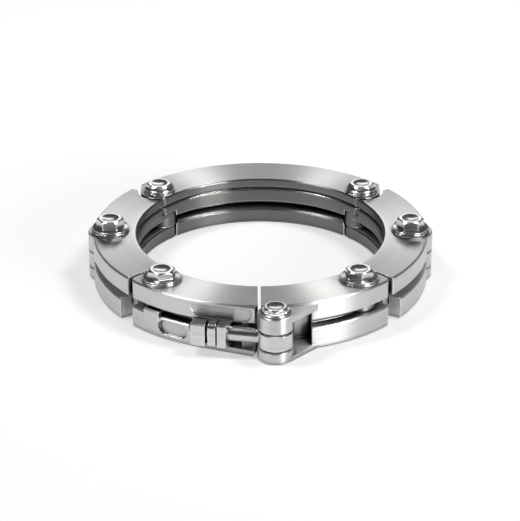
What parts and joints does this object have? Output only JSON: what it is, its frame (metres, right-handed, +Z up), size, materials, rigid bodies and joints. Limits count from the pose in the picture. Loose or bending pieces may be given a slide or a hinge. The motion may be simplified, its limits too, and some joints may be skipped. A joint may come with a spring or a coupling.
{
  "type": "hinged ring clamp",
  "caption": "Hinged metal ring clamp of arc segments that closes round a pair of vacuum flanges; bolts act as hinge pins and a swing bolt with a nut pulls the open ends together.",
  "frame": {"origin": "on the ring's axis, at the flat resting face under the segments", "axes": "+Z up along the ring's axis, from the resting face towards the bolt heads; -Y towards the closure; +X towards the segment that carries the swing bolt's pin"},
  "size_m": [0.1114, 0.1163, 0.0204],
  "materials": {
    "segment_steel": "satin machined",
    "closure_steel": "satin machined",
    "fastener_steel": "polished"
  },
  "bodies": {
    "back": {"back_segment": "segment_steel"},
    "left_side": {"left_upper_plate": "segment_steel", "left_link_plate": "segment_steel", "left_lower_plate": "segment_steel", "left_side_bolt": "fastener_steel", "left_side_washer": "fastener_steel", "left_back_hinge_bolt": "fastener_steel", "left_back_hinge_washer": "fastener_steel"},
    "right_side": {"right_upper_plate": "segment_steel", "right_link_plate": "segment_steel", "right_lower_plate": "segment_steel", "right_side_bolt": "fastener_steel", "right_side_washer": "fastener_steel", "right_back_hinge_bolt": "fastener_steel", "right_back_hinge_washer": "fastener_steel"},
    "front_left": {"front_left_segment": "segment_steel", "left_front_hinge_bolt": "fastener_steel", "left_front_hinge_washer": "fastener_steel"},
    "front_right": {"front_right_segment": "segment_steel", "right_front_hinge_bolt": "fastener_steel", "right_front_hinge_washer": "fastener_steel", "closure_pin": "fastener_steel"},
    "swing_bolt": {"swing_bolt": "closure_steel"},
    "keeper": {"keeper_block": "closure_steel"},
    "washer": {"closing_washer": "closure_steel"},
    "nut": {"closing_nut": "closure_steel"}
  },
  "joints": [
    {"name": "left_back_hinge", "type": "hinge", "parent": "back", "child": "left_side", "pos_m": [-0.03381, 0.03045, 0.008], "axis": [0, 0, -1], "range_deg": [0, 15]},
    {"name": "right_back_hinge", "type": "hinge", "parent": "back", "child": "right_side", "pos_m": [0.03381, 0.03045, 0.008], "axis": [0, 0, 1], "range_deg": [0, 15]},
    {"name": "left_front_hinge", "type": "hinge", "parent": "left_side", "child": "front_left", "pos_m": [-0.03059, -0.03594, 0.008], "axis": [0, 0, -1], "range_deg": [0, 9]},
    {"name": "right_front_hinge", "type": "hinge", "parent": "right_side", "child": "front_right", "pos_m": [0.03059, -0.03594, 0.008], "axis": [0, 0, 1], "range_deg": [0, 9]},
    {"name": "closure_swing", "type": "hinge", "parent": "front_right", "child": "swing_bolt", "pos_m": [0.0046, -0.0567, 0.007], "axis": [0, 0, 1], "range_deg": [0, 130]},
    {"name": "nut_travel", "type": "slide", "parent": "swing_bolt", "child": "nut", "axis": [-0.9816, 0.1908, 0], "range_m": [0, 0.0009]},
    {"name": "washer_travel", "type": "slide", "parent": "swing_bolt", "child": "washer", "axis": [-0.9816, 0.1908, 0], "range_m": [0, 0.0009]},
    {"name": "keeper_travel", "type": "slide", "parent": "swing_bolt", "child": "keeper", "axis": [-0.9816, 0.1908, 0], "range_m": [0, 0.0009]}
  ],
  "couplings": [
    {"joint": "left_back_hinge", "follows": "closure_swing", "ratio": 0.05},
    {"joint": "right_back_hinge", "follows": "closure_swing", "ratio": 0.05},
    {"joint": "left_front_hinge", "follows": "closure_swing", "ratio": 0.054},
    {"joint": "right_front_hinge", "follows": "closure_swing", "ratio": 0.054},
    {"joint": "washer_travel", "follows": "nut_travel", "ratio": 1},
    {"joint": "keeper_travel", "follows": "nut_travel", "ratio": 1}
  ]
}
